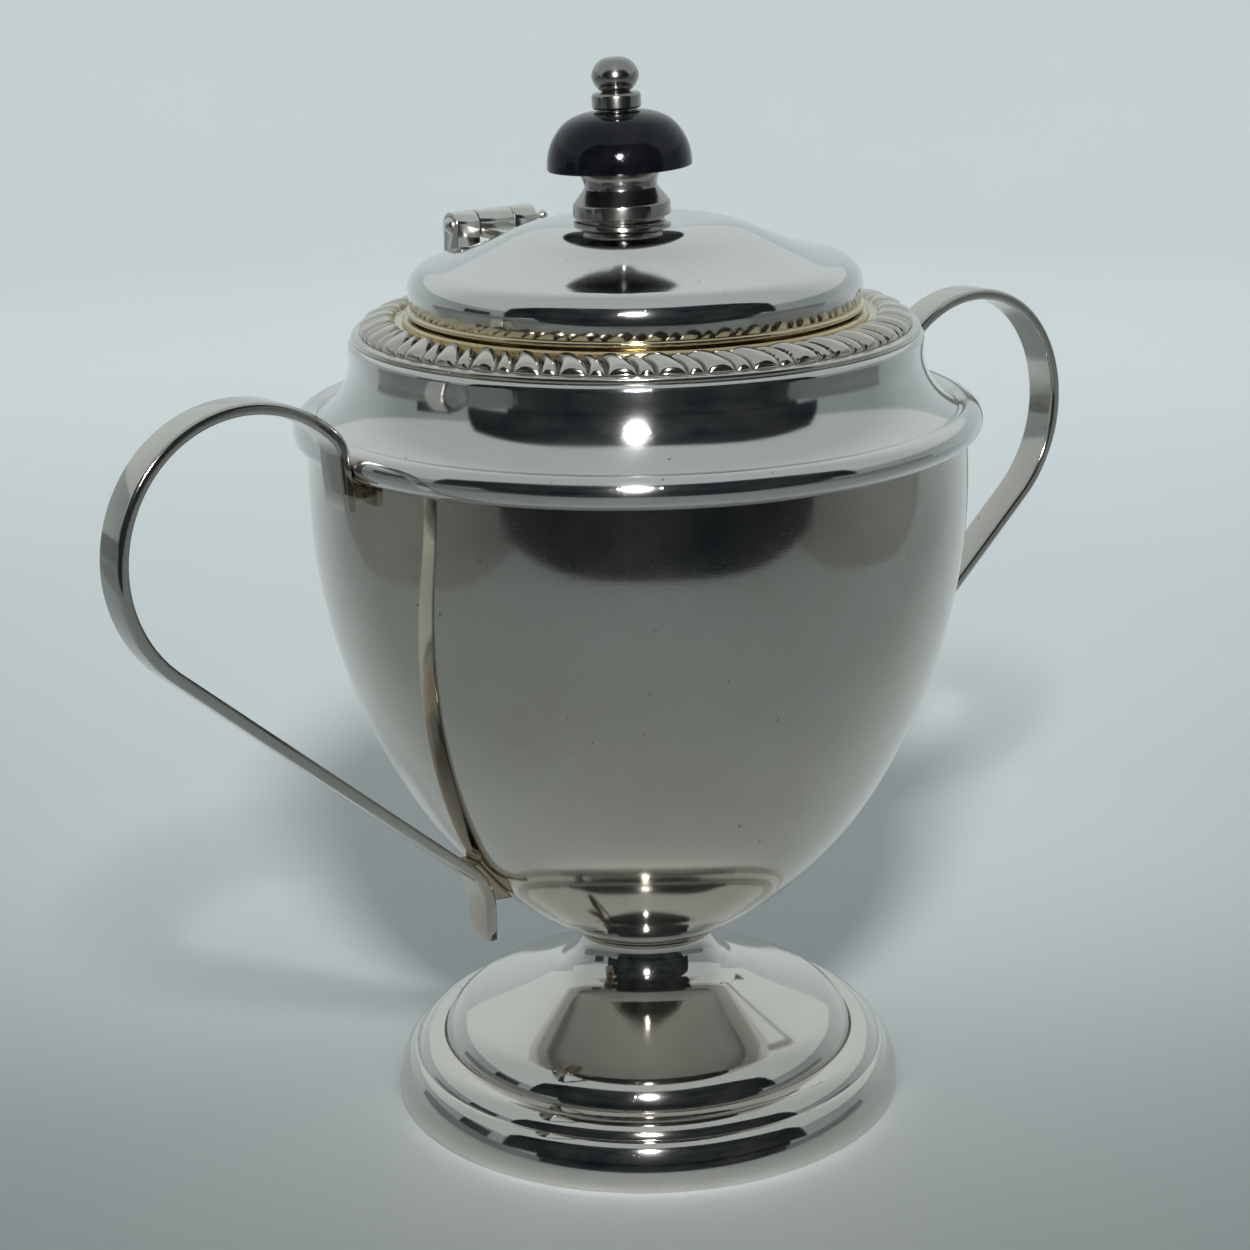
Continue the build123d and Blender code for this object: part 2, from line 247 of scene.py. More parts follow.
class Nodes:
    """A short way to write a material's node tree."""

    def __init__(self, name):
        self.mat = bpy.data.materials.new(name)
        self.mat.use_nodes = True
        self.tree = self.mat.node_tree
        self.shader = self.tree.nodes["Principled BSDF"]
        self.where = self.add("ShaderNodeTexCoord").outputs["Object"]

    def add(self, kind, **values):
        node = self.tree.nodes.new(kind)
        for key, value in values.items():
            if hasattr(node, key):
                setattr(node, key, value)
            else:
                node.inputs[key.replace("_", " ")].default_value = value
        return node

    def link(self, a, b):
        self.tree.links.new(a, b)

    def math(self, operation, a, b=None, c=None, clamp=False):
        node = self.add("ShaderNodeMath", operation=operation, use_clamp=clamp)
        for socket, value in zip(node.inputs, (a, b, c)):
            if value is None:
                continue
            if isinstance(value, (int, float)):
                socket.default_value = value
            else:
                self.link(value, socket)
        return node.outputs[0]

    def noise(self, vector, scale, detail=3.0, roughness=0.5, distortion=0.0):
        node = self.add("ShaderNodeTexNoise")
        node.inputs["Scale"].default_value = scale
        node.inputs["Detail"].default_value = detail
        node.inputs["Roughness"].default_value = roughness
        node.inputs["Distortion"].default_value = distortion
        self.link(vector, node.inputs["Vector"])
        return node.outputs["Fac"]

    def ramp(self, value, low, high, out_low=0.0, out_high=1.0):
        node = self.add("ShaderNodeMapRange", clamp=True)
        node.inputs["From Min"].default_value = low
        node.inputs["From Max"].default_value = high
        node.inputs["To Min"].default_value = out_low
        node.inputs["To Max"].default_value = out_high
        self.link(value, node.inputs["Value"])
        return node.outputs[0]

    def stretch(self, sx, sy, sz, turn=(0, 0, 0), vector=None):
        node = self.add("ShaderNodeMapping")
        node.inputs["Scale"].default_value = (sx, sy, sz)
        node.inputs["Rotation"].default_value = turn
        self.link(vector or self.where, node.inputs["Vector"])
        return node.outputs[0]

    def mix(self, factor, a, b):
        node = self.add("ShaderNodeMix", data_type="RGBA")
        for socket, value in ((node.inputs["Factor"], factor), (node.inputs[6], a), (node.inputs[7], b)):
            if isinstance(value, (int, float)):
                socket.default_value = value
            elif isinstance(value, tuple):
                socket.default_value = (*value, 1)
            else:
                self.link(value, socket)
        return node.outputs[2]

    def polar(self):
        """(radius, height) about Z in metres, and a vector that runs round the axis for lathe marks."""
        split = self.add("ShaderNodeSeparateXYZ")
        self.link(self.where, split.inputs[0])
        x, y, z = split.outputs
        r = self.math("SQRT", self.math("ADD", self.math("MULTIPLY", x, x), self.math("MULTIPLY", y, y)))
        turn = self.math("ARCTAN2", y, x)
        join = self.add("ShaderNodeCombineXYZ")
        self.link(self.math("MULTIPLY", turn, 0.0012), join.inputs[0])
        self.link(r, join.inputs[1])
        self.link(z, join.inputs[2])
        return r, z, join.outputs[0]

    def bump(self, height, distance, strength=1.0, below=None):
        node = self.add("ShaderNodeBump")
        node.inputs["Distance"].default_value = distance
        node.inputs["Strength"].default_value = strength
        self.link(height, node.inputs["Height"])
        if below is not None:
            self.link(below, node.inputs["Normal"])
        return node.outputs[0]


def plate(name, base, warm, rough=0.045, amount=0.35, marks="round", gold=None, waves=0.00004, streak=0.45,
          groove_shade=None):
    """Polished silver plate: warm tarnish in patches, fine polishing marks, a few scratches and specks.
    marks is "round" for lathe marks, or the turn of straight ones. gold and groove_shade(nodes, r, z) may
    return 0..1 fields of golden tarnish and of painted shade, dark down in the grooves."""
    n = Nodes(name)
    r, z, around = n.polar()
    patches = n.ramp(n.noise(n.where, 38, 4, 0.6, 0.4), 0.35, 0.75)
    clouds = n.ramp(n.noise(n.where, 130, 5, 0.65), 0.4, 0.8)
    tarnish = n.math("MULTIPLY", n.math("ADD", patches, n.math("MULTIPLY", clouds, 0.5)), amount, clamp=True)
    colour = n.mix(tarnish, base, warm)
    if gold:
        colour = n.mix(gold(n, r, z), colour, GOLDEN)
    # Painted shade: where a mask is given, the grooves between the lobes are darkened in colour.
    if groove_shade:
        colour = n.mix(groove_shade(n, r, z), colour, GROOVE_SHADE)
    specks = n.ramp(n.noise(n.where, 900, 2, 0.5), 0.74, 0.78)
    colour = n.mix(n.math("MULTIPLY", specks, 0.6), colour, SPECK)
    n.link(colour, n.shader.inputs["Base Color"])
    if marks == "round":
        lines = n.noise(n.stretch(1, 1, 1, vector=around), 9000, 3, 0.7)
        broad = n.noise(around, 1800, 2, 0.5)
    else:
        lines = n.noise(n.stretch(1, 0.04, 1, marks), 9000, 3, 0.7)
        broad = n.noise(n.stretch(1, 0.1, 1, marks), 1800, 2, 0.5)
    cross = n.noise(n.stretch(1, 0.015, 1, (0.9, 0.4, 1.1)), 5200, 1, 0.4)
    other = n.noise(n.stretch(0.02, 1, 1, (0.3, 1.2, 0.5)), 4400, 1, 0.4)
    scratch = n.math("MAXIMUM", n.ramp(cross, 0.70, 0.76), n.ramp(other, 0.71, 0.77))
    haze = n.ramp(n.noise(n.where, 60, 4, 0.6), 0.3, 0.8, rough * 0.8, rough * 1.7)
    roughness = n.math("ADD", haze, n.math("MULTIPLY", n.math("ADD", scratch, tarnish), 0.03))
    n.link(roughness, n.shader.inputs["Roughness"])
    low = n.bump(n.noise(n.where, 55, 1, 0.4), waves)
    mid = n.bump(n.math("ADD", lines, broad), 0.0000011, below=low)
    top = n.bump(scratch, 0.0000015, below=mid)
    n.link(top, n.shader.inputs["Normal"])
    n.shader.inputs["Metallic"].default_value = 1.0
    n.shader.inputs["Anisotropic"].default_value = streak if marks == "round" else 0.0
    n.shader.inputs["Anisotropic Rotation"].default_value = 0.25 if marks == "round" else 0.0
    if marks == "round":
        tangent = n.add("ShaderNodeTangent", direction_type="RADIAL", axis="Z")
        n.link(tangent.outputs[0], n.shader.inputs["Tangent"])
    return n.mat


def near_the_lid_edge(n, r, z):
    return n.math("MULTIPLY", n.ramp(z, 0.1152, 0.1134), 0.85)


def inside_the_lobes(n, r, z):
    return n.math("MULTIPLY", n.ramp(r, 0.0331, 0.0316), 0.85)


def low_on_the_strap(n, r, z):
    return n.math("MULTIPLY", n.ramp(z, 0.062, 0.036), 0.2)


def shade_in_the_flutes(n, r, z):
    """Painted shade: 1 down between the lobes of the border, and 0 on top of them: a point's height over the
    ring's own crown, which is flat up to crown_r and falls away outside it."""
    crown_r, crown_z, fall = 0.0334, 0.11118, 118.0
    past = n.math("MAXIMUM", n.math("SUBTRACT", r, crown_r), 0.0)
    crown = n.math("SUBTRACT", crown_z, n.math("MULTIPLY", n.math("MULTIPLY", past, past), fall))
    over = n.math("SUBTRACT", z, crown)
    low = n.ramp(over, 0.00045, 0.00008)
    on_lobes = n.math("MULTIPLY", n.ramp(r, 0.0324, 0.0335), n.ramp(r, 0.0371, 0.0367))
    return n.math("MULTIPLY", n.math("MULTIPLY", low, on_lobes), 0.85)


silver_bowl = plate("silver_bowl", (0.69, 0.655, 0.60), (0.58, 0.53, 0.455),
                    rough=0.05, amount=0.6, streak=0.75)
silver_foot = plate("silver_foot", (0.72, 0.70, 0.655), (0.62, 0.575, 0.50),
                    rough=0.05, amount=0.4, streak=0.6)
silver_shoulder = plate("silver_shoulder", (0.73, 0.725, 0.71), (0.64, 0.62, 0.57),
                        rough=0.08, amount=0.3, streak=0.92)
silver_lid = plate("silver_lid", (0.74, 0.735, 0.72), (0.65, 0.63, 0.59),
                   rough=0.055, amount=0.25, streak=0.6, gold=near_the_lid_edge)
silver_border = plate("silver_border", (0.70, 0.675, 0.62), (0.52, 0.47, 0.38),
                      rough=0.08, amount=0.5, streak=0.0, gold=inside_the_lobes, groove_shade=shade_in_the_flutes)
silver_gilded = plate("silver_gilded", (0.70, 0.60, 0.40), (0.58, 0.43, 0.22), rough=0.10, amount=0.7)
silver_handle = plate("silver_handle", (0.66, 0.64, 0.60), (0.52, 0.47, 0.40),
                      rough=0.075, amount=0.5, marks=(0.4, 0.2, 0.0), gold=low_on_the_strap)
hinge_metal = plate("hinge_metal", (0.82, 0.80, 0.76), (0.66, 0.62, 0.55),
                    rough=0.10, amount=0.5, marks=(0.0, 0.0, 0.0))
finial_metal = plate("finial_metal", (0.42, 0.405, 0.385), (0.30, 0.27, 0.235),
                     rough=0.13, amount=0.5, streak=0.5)
steel = plate("steel", (0.46, 0.455, 0.45), (0.35, 0.32, 0.29), rough=0.2, amount=0.5, streak=0.3)
solder = plate("solder", (0.62, 0.59, 0.52), (0.48, 0.39, 0.25),
               rough=0.13, amount=0.9, marks=(0.5, 0.1, 0.3))


def knob_material():
    """Glossy black, with faint wear and scratches."""
    n = Nodes("black_knob")
    patches = n.ramp(n.noise(n.where, 240, 4, 0.6), 0.35, 0.7)
    n.link(n.mix(patches, (0.0015, 0.002, 0.003), (0.005, 0.005, 0.006)), n.shader.inputs["Base Color"])
    lines = n.noise(n.stretch(1, 0.05, 1, (0.6, 0.2, 0.9)), 5200, 2, 0.5)
    scratch = n.ramp(lines, 0.66, 0.72)
    wear = n.ramp(n.noise(n.where, 420, 4, 0.6), 0.35, 0.75, 0.05, 0.13)
    n.link(n.math("ADD", wear, n.math("MULTIPLY", scratch, 0.1)), n.shader.inputs["Roughness"])
    n.link(n.bump(scratch, 0.000002, below=n.bump(n.noise(n.where, 300, 2, 0.5), 0.000012)),
           n.shader.inputs["Normal"])
    n.shader.inputs["IOR"].default_value = 1.35
    n.shader.inputs["Coat Weight"].default_value = 0.05
    n.shader.inputs["Coat Roughness"].default_value = 0.06
    return n.mat


black_knob = knob_material()

# ----------------------------------------------------------------------------- foot

ring = [(34.8, 0), (FOOT_R, 0), (FOOT_R, 0.6)]
ring += arc(ring[-1], (35.55, 3.5), (34.7, 5.35))
ring += arc(ring[-1], (34.25, 5.9), (33.7, 6.3))
ring += [(33.4, 6.35)]
ring += arc(ring[-1], (32.85, 7.3), (31.9, 8.05))
ring += arc(ring[-1], (31.5, 8.22), (31.0, 8.3))
ring += [(29.4, 8.35), (29.15, LEDGE_Z), (27.4, LEDGE_Z), (27.4, 7.0), (31.4, 6.8), (34.6, 3.2)]
lathe("foot_moulding", soften(ring, 0.1), silver_foot, "bowl", ["foot_ring"])

disc = [(LEDGE_R, 7.92), (LEDGE_R, 8.3)]
disc += arc(disc[-1], (28.3, 10.2), (26.2, 12.0))
disc += arc(disc[-1], (19.8, 14.4), (13.9, 16.95), 1.0)
disc += arc(disc[-1], (12.5, 17.72), (11.55, 18.6), 2.0)
disc += arc(disc[-1], (10.05, 20.5), (9.3, 22.7), 2.0)
disc += bend(disc[-1], 99, 2.2, -44, 4)[0]
under = inset(disc[1:], -SHEET)
lathe("foot_disc", soften(disc + under[::-1], 0.08), silver_foot, "bowl", ["foot_stem"])

# ----------------------------------------------------------------- bowl and shoulder


def bowl_line():
    """Outside of the bowl from the middle of its bottom to its top edge."""
    line, heading = bend((0, BOWL_BOTTOM_Z), 0, 20.4, 27.7, 1.5)
    line = [(0, BOWL_BOTTOM_Z)] + line
    line += arc(line[-1], (21.85, 32.5), (31.6, 44.0), 1.0)
    line += arc(line[-1], (41.6, 67.0), (44.5, 91.5), 1.0)
    line.append(BOWL_EDGE)
    return line


outside = bowl_line()
inside = [(max(r, 0), z) for r, z in inset(outside, -SHEET)]
inside[0] = (0, BOWL_BOTTOM_Z + SHEET)
lathe("spun_bowl", soften(outside + inside[::-1], 0.1, closed=False), silver_bowl, "bowl",
      ["bowl_body"], closed=False)

band = [BOWL_EDGE]
band += arc(band[-1], (46.27, 97.5), (44.5, 99.7), 5)
band += arc(band[-1], (43.7, 99.6), SHOULDER_CREASE, 5)
band += [(43.0, 98.0), (43.5, 95.4)]
lathe("shoulder_roll", soften(band, 0.08), silver_shoulder, "bowl", ["shoulder_band"])

hollow = [SHOULDER_CREASE] + arc(SHOULDER_CREASE, (39.8, 102.1), (NECK_WALL_R, 106.8), 2)
hollow.append((NECK_WALL_R, 108.3))
hollow += bend(hollow[-1], 90, 1.0, 90, 6)[0]
hollow.append((29.6, FLANGE_Z))
back = inset(hollow, -0.8)
lathe("shoulder_hollow", soften(hollow + back[::-1], 0.08), silver_shoulder, "bowl", ["shoulder_cover"])

mouth = [(MOUTH_R, 106.0), (29.6, 106.0), (29.6, FLANGE_Z), (BORDER_IN_R, FLANGE_Z), (BORDER_IN_R, 111.6),
         (30.7, MOUTH_Z), (MOUTH_R, MOUTH_Z)]
lathe("mouth_ring", soften(mouth, 0.15), silver_gilded, "bowl", ["mouth_collar"])

# --------------------------------------------------------------------- gadroon border


def gadroon_border():
    """A cast ring whose slanting lobes end in round heads over a thin outer lip, with a narrow reed
    between each pair. t runs from the inner edge of the crown, 0, to its outer edge, 1."""
    per_lobe, rows = 30, 44
    wide_at, wide_height = 0.32, 1.05      # place within one repeat, and height in millimetres
    narrow_at, narrow_height, narrow_share = 0.81, 0.82, 0.55
    head_from, head_length = 0.80, 0.20
    tail_from, tail_length = 0.18, 0.22
    columns = LOBES * per_lobe
    base = [(31.1, 111.15)] + arc((31.1, 111.15), (33.6, 111.2), (36.7, 109.98), 1.0)
    base = np.array(base)
    length = np.concatenate([[0], np.cumsum(np.linalg.norm(np.diff(base, axis=0), axis=1))])
    t = np.linspace(0, 1, rows)
    line = np.stack([np.interp(t * length[-1], length, base[:, k]) for k in (0, 1)], axis=1)
    d = np.gradient(line, axis=0)
    d /= np.linalg.norm(d, axis=1)[:, None]
    normal = np.stack([-d[:, 1], d[:, 0]], axis=1)
    swirl = -0.62 * (1 - t) ** 2.0
    wide_half = 0.235 + 0.06 * t
    head = np.sqrt(np.clip(1 - (np.clip(t - head_from, 0, 1) / head_length) ** 2, 0, 1))
    tail = np.clip((t - tail_from) / tail_length, 0, 1)
    envelope = head * np.sqrt(tail * (2 - tail))
    outer_rows = [(36.78, 110.12), (36.95, 110.02), (37.65, 109.98), (37.82, 109.92),
                  (BORDER_OUT_R, 109.78), (BORDER_OUT_R, 109.35), (37.85, FLANGE_Z), (31.05, FLANGE_Z),
                  (BORDER_IN_R, 109.35), (BORDER_IN_R, 111.1)]
    verts = []
    for i in range(rows + len(outer_rows)):
        for k in range(columns):
            a = 2 * math.pi * k / columns
            if i < rows:
                phase = (k / per_lobe - swirl[i]) % 1.0
                wide = abs(phase - wide_at) / wide_half[i]
                narrow = abs(phase - narrow_at) / (narrow_share * wide_half[i])
                h = max(wide_height * math.sqrt(max(0, 1 - wide**2)),
                        narrow_height * math.sqrt(max(0, 1 - narrow**2)))
                h *= envelope[i]
                r, z = line[i] + normal[i] * h
            else:
                r, z = outer_rows[i - rows]
            verts.append((r * math.cos(a) * MM, r * math.sin(a) * MM, z * MM))
    total = rows + len(outer_rows)
    faces = []
    for i in range(total):
        j = (i + 1) % total
        for k in range(columns):
            m = (k + 1) % columns
            faces.append((i * columns + k, i * columns + m, j * columns + m, j * columns + k))
    obj = new_object("gadrooned_rim", verts, faces, silver_border)
    face_out(obj)
    return settle(obj, "bowl", ["gadroon_border"])


gadroon_border()

# -------------------------------------------------------------------------- handles


def strap_path():
    """The strap's middle line: up past the roll, round the loop, down the long run, and the free tail."""
    tip, top = (46.75, 92.3), (47.25, 99.4)
    run_length, run_steps = 54.8, 18
    heading = math.degrees(math.atan2(top[1] - tip[1], top[0] - tip[0]))
    path = [tip, ahead(tip, heading, 0.12), ahead(tip, heading, 2.4), ahead(tip, heading, 4.8), top]
    for radius, turn in ((4.0, -40), (17.2, -105.4), (18.4, -79.5)):
        points, heading = bend(path[-1], heading, radius, turn, 2.5)
        path += points
    start = path[-1]
    path += [ahead(start, heading, run_length * k / run_steps) for k in range(1, run_steps + 1)]
    points, heading = bend(path[-1], heading, 7.75, 49, 3)
    path += points
    start = path[-1]
    path += [ahead(start, heading, d) for d in (1.5, 3.0, 4.38, 4.5)]
    return path


def handle(name, side, node):
    """A flat strap with rounded edges, bent in the XZ plane."""
    half_width, half_thick, edge = 2.65, 0.8, 0.5
    flat_w, flat_h = half_width - edge, half_thick - edge
    section = []
    for cx, cz, a0 in ((flat_w, flat_h, 0), (-flat_w, flat_h, 90),
                       (-flat_w, -flat_h, 180), (flat_w, -flat_h, 270)):
        for k in range(7):
            a = math.radians(a0 + 15 * k)
            section.append((cx + edge * math.cos(a), cz + edge * math.sin(a)))
    path = np.array(strap_path())
    d = np.gradient(path, axis=0)
    d /= np.linalg.norm(d, axis=1)[:, None]
    verts = []
    last = len(path) - 1
    for i, (p, t) in enumerate(zip(path, d)):
        shrink = 0.86 if i in (0, last) else 1.0
        for w, h in section:
            w, h = w * (1 - (1 - shrink) * 0.3), h * shrink
            s, z = p[0] - t[1] * h, p[1] + t[0] * h
            verts.append((side * s * MM, w * MM, z * MM))
    m = len(section)
    faces = []
    for i in range(last):
        for k in range(m):
            j = (k + 1) % m
            faces.append((i * m + k, i * m + j, (i + 1) * m + j, (i + 1) * m + k))
    faces.append(tuple(range(m)))
    faces.append(tuple(last * m + k for k in reversed(range(m))))
    obj = new_object(name, verts, faces, silver_handle)
    face_out(obj)
    for poly in obj.data.polygons:
        if len(poly.vertices) > 4:
            poly.use_smooth = False
    return settle(obj, "bowl", [node])


handle("strap_right", 1, "handle_right")
handle("strap_left", -1, "handle_left")

# ------------------------------------------------------------------------------ lid


def lid_line():
    """Outside of the lid from the middle of its crown down to its edge; the wall leans in a little."""
    wall_lean = math.radians(8)
    line = [(0, CROWN_Z), (4.5, CROWN_Z), (9.0, CROWN_Z)]
    points, heading = bend(line[-1], 0, 19.0, -26.5, 1.5)
    line += points
    points, heading = bend(line[-1], heading, 36.0, 14.0, 1.5)
    line += points
    line.append(ahead(line[-1], heading, 1.94))
    points, heading = bend(line[-1], heading, 3.4, -85.5, 4)
    line += points
    line.append((line[-1][0] - (line[-1][1] - LID_EDGE_Z) * math.tan(wall_lean), LID_EDGE_Z))
    return line


top = lid_line()
hole = 1.7
below = inset(top, SHEET)
shell = [(hole, CROWN_Z)] + [p for p in top if p[0] > hole]
shell += [p for p in reversed(below) if p[0] > hole] + [(hole, CROWN_Z - SHEET)]
lathe("spun_lid", soften(shell, 0.12), silver_lid, "lid", ["lid_shell"])
wire = [(29.9, LID_EDGE_Z), (30.1, LID_EDGE_Z)]
wire += arc(wire[-1], (30.45, 112.6), (30.1, 113.0), 12)
wire += [(29.9, 113.0)]
lathe("lid_wire", wire, silver_lid, "lid", ["lid_edge_wire"])
bezel = [(27.7, 109.7), (28.3, 109.7), (28.3, 113.2), (29.4, 113.2), (29.4, 114.0), (27.7, 114.0)]
lathe("lid_skirt", soften(bezel, 0.12), silver_gilded, "lid", ["lid_bezel"])

# ------------------------------------------------------- pieces refined from the CAD


def refined(name, node, material, body, width, angle=28, rounds=0, voxel=0.0):
    """The CAD piece with softened edges; with a voxel size it becomes a smooth poured shape instead."""
    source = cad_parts[node]
    mesh = source.data.copy()
    mesh.transform(source.matrix_world)
    mesh.materials.clear()
    bm = bmesh.new()
    bm.from_mesh(mesh)
    bmesh.ops.remove_doubles(bm, verts=bm.verts, dist=1e-7)
    if not voxel:
        bmesh.ops.dissolve_limit(bm, angle_limit=math.radians(1.5), verts=bm.verts, edges=bm.edges)
        sharp = [e for e in bm.edges if len(e.link_faces) == 2 and e.calc_face_angle(0) > math.radians(angle)]
        bmesh.ops.bevel(bm, geom=sharp, offset=width * MM, segments=3, profile=0.5, affect="EDGES",
                        clamp_overlap=True)
    bm.to_mesh(mesh)
    bm.free()
    obj = bpy.data.objects.new(name, mesh)
    bpy.context.scene.collection.objects.link(obj)
    if voxel:
        remesh = obj.modifiers.new("pour", "REMESH")
        remesh.mode, remesh.voxel_size = "VOXEL", voxel * MM
        smooth = obj.modifiers.new("settle", "SMOOTH")
        smooth.factor, smooth.iterations = 0.5, rounds
        bpy.context.view_layer.update()
        ready = bpy.data.meshes.new_from_object(obj.evaluated_get(bpy.context.evaluated_depsgraph_get()))
        obj.modifiers.clear()
        obj.data = ready
    obj.data.materials.clear()
    obj.data.materials.append(material)
    obj.data.polygons.foreach_set("use_smooth", [True] * len(obj.data.polygons))
    if not voxel:
        obj.data.set_sharp_from_angle(angle=math.radians(35))
    obj.data.update()
    return settle(obj, body, [node])


refined("bracket", "hinge_bracket", hinge_metal, "bowl", 0.14)
refined("leaf", "hinge_leaf", hinge_metal, "lid", 0.12)
refined("nut", "lid_nut", steel, "lid", 0.2)
for side in ("left", "right"):
    for place in ("upper", "lower"):
        refined(f"solder_{side}_{place}", f"handle_{side}_{place}_solder", solder, "bowl", 0,
                rounds=14, voxel=0.14)

pin = [(0, -7.6)] + arc((0, -7.6), (0.75, -7.4), (1.2, -6.9), 10)
pin += [(0.8, -6.9), (0.8, 7.2), (0.45, 7.5), (0.45, 8.55)]
pin += arc(pin[-1], (0.75, 9.15), (0, 9.9), 10)
lathe("hinge_rivet", soften(pin, 0.06, False), hinge_metal, "bowl", ["hinge_pin"], False,
      Matrix.Translation(Vector((0, HINGE_Y, HINGE_Z)) * MM) @ Matrix.Rotation(math.radians(90), 4, "Y"), 64)

seam = [(10.1 + 0.45 * math.cos(a), 24.1 + 0.45 * math.sin(a)) for a in
        (math.radians(20 * k) for k in range(18))]
lathe("seam", seam, solder, "bowl", ["stem_seam"],
      wobble=lambda a, r, z: (0.06 * math.sin(7 * a + 1) * math.sin(3 * a), 0.05 * math.sin(5 * a)))

# --------------------------------------------------------------------------- finial

shift_x, shift_y = FINIAL_SHIFT * math.cos(FINIAL_WAY), FINIAL_SHIFT * math.sin(FINIAL_WAY)
tilt = Matrix.Rotation(FINIAL_LEAN, 4, Vector((-math.sin(FINIAL_WAY), math.cos(FINIAL_WAY), 0)))
finial_place = Matrix.Translation(Vector((shift_x, shift_y, CROWN_Z)) * MM) @ tilt


def turned(name, profile, material, node, closed=True, radius=0.1, segments=160):
    """A piece of the finial, turned about the finial's own axis."""
    return lathe(name, soften(profile, radius, closed), material, "lid", [node], closed, finial_place,
                 segments)


spool = [(STUD_HOLE_R, 0.03), (5.75, 0.03), (5.8, 0.35), (6.4, 0.45), (6.5, 0.6), (6.5, 2.0)]
spool += arc(spool[-1], (6.44, 2.2), (6.3, 2.38), 10)
spool += [(4.9, 4.15)]
spool += arc(spool[-1], (5.1, 5.5), (6.1, 6.5), 5)
spool += [(6.2, KNOB_FOOT), (STUD_HOLE_R, KNOB_FOOT)]
turned("turned_spool", spool, finial_metal, "finial_spool")
knob = [(STUD_HOLE_R, KNOB_FOOT), (9.3, KNOB_FOOT)]
knob += arc(knob[-1], (9.52, 6.8), (9.6, 7.1), 12)
knob += curve([(9.6, 7.1), (9.0, 10.1), (7.1, 12.7), (3.2, KNOB_TOP)], (0, 1), (-1, 0.1), 14)
knob += [(STUD_HOLE_R, KNOB_TOP)]
turned("domed_knob", knob, black_knob, "finial_knob")
thin_washer = [(STUD_HOLE_R, KNOB_TOP), (2.7, KNOB_TOP), (2.7, CAP_FOOT), (STUD_HOLE_R, CAP_FOOT)]
turned("thin_washer", thin_washer, finial_metal, "finial_washer", radius=0.06)
cap = [(0, CAP_FOOT), (3.05, CAP_FOOT), (3.25, 14.6), (3.25, 15.9)]
cap += arc(cap[-1], (3.05, 16.35), (2.5, 16.5), 10)
cap += [(1.7, 16.6)]
cap += curve([(1.7, 16.6), (3.13, 18.5), (2.0, 20.55), (0, 21.0)], (1, 0.2), (-1, 0), 14)
turned("ball_and_collar", cap, finial_metal, "finial_cap", closed=False)


def stud():
    """Rod with a rolled thread along its lower end."""
    pitch, depth, around, low, high = 0.7, 0.22, 48, -5.5, 15.9
    verts, faces, rows = [], [], 320
    for i in range(rows + 1):
        z = low + (high - low) * i / rows
        for k in range(around):
            a = 2 * math.pi * k / around
            cut = abs(((z / pitch - k / around) % 1.0) - 0.5) * 2
            fade = min(1, max(0, (1.5 - z) / 0.8))
            r = STUD_R - depth * max(0, 1 - 1.35 * cut) * fade
            r -= 0.4 * max(0, (low + 0.5 - z) / 0.5)
            p = finial_place @ Vector((r * math.cos(a) * MM, r * math.sin(a) * MM, z * MM))
            verts.append(p)
    for i in range(rows):
        for k in range(around):
            j = (k + 1) % around
            faces.append((i * around + k, i * around + j, (i + 1) * around + j, (i + 1) * around + k))
    for end, start in ((False, 0), (True, rows * around)):
        verts.append(finial_place @ Vector((0, 0, (high if end else low) * MM)))
        tip = len(verts) - 1
        for k in range(around):
            j = (k + 1) % around
            faces.append((start + k, start + j, tip) if end else (start + j, start + k, tip))
    obj = new_object("threaded_rod", verts, faces, steel)
    face_out(obj)
    obj.data.set_sharp_from_angle(angle=math.radians(50))
    settle(obj, "lid", ["finial_stud"])


stud()
washer = soften([(1.72, 122.5), (4.0, 122.5), (4.0, 123.1), (1.72, 123.1)], 0.12)
lathe("inside_washer", washer, steel, "lid", ["lid_washer"],
      place=Matrix.Translation(Vector((shift_x, shift_y, 0)) * MM), segments=96)


# ---------------------------------------------------------------------------- stage


def matt(name, light, dark_tone, scale, detail, grain, rough, specular):
    """Matt paper or card, faintly mottled between two tones."""
    n = Nodes(name)
    shade = n.ramp(n.noise(n.where, scale, detail, grain), 0.3, 0.7)
    n.link(n.mix(shade, light, dark_tone), n.shader.inputs["Base Color"])
    n.shader.inputs["Roughness"].default_value = rough
    n.shader.inputs["Specular IOR Level"].default_value = specular
    return n.mat


def surface(name, profile, material, segments=128, a0=0.0, a1=2 * math.pi):
    """A stage surface turned about Z, in metres."""
    verts, faces = [], []
    for r, z in profile:
        for k in range(segments + 1):
            a = a0 + (a1 - a0) * k / segments
            verts.append((r * math.cos(a), r * math.sin(a), z))
    row = segments + 1
    for i in range(len(profile) - 1):
        for k in range(segments):
            faces.append((i * row + k, i * row + k + 1, (i + 1) * row + k + 1, (i + 1) * row + k))
    obj = new_object(name, verts, faces, material)
    return obj


PAPER = (0.60, 0.635, 0.64)
paper = matt("pale_paper", PAPER, tuple(c * 0.985 for c in PAPER), 9, 4, 0.6, 0.9, 0.1)
flat_r, sweep_r = 0.8, 0.6
sweep = [(0.0001, 0), (0.1, 0), (0.4, 0), (flat_r, 0)]
sweep += [(flat_r + sweep_r * math.sin(a), sweep_r - sweep_r * math.cos(a))
          for a in (math.radians(6 * k) for k in range(1, 15))]
surface("paper_sweep", sweep, paper)

# Cards stand for the unlit room round the front of the table: painted shade, dark and grey sheets put where
# there is only shade. The camera and the lamps' shadows never see them; reflections see them all, and soft
# light sees those made with diffuse=True.
dark_card = matt("dark_card", (0.04, 0.055, 0.07), (0.15, 0.145, 0.14), 5, 3, 0.5, 1.0, 0.0)
grey_card = matt("grey_card", (0.40, 0.415, 0.415), (0.52, 0.515, 0.50), 4, 3, 0.5, 1.0, 0.0)


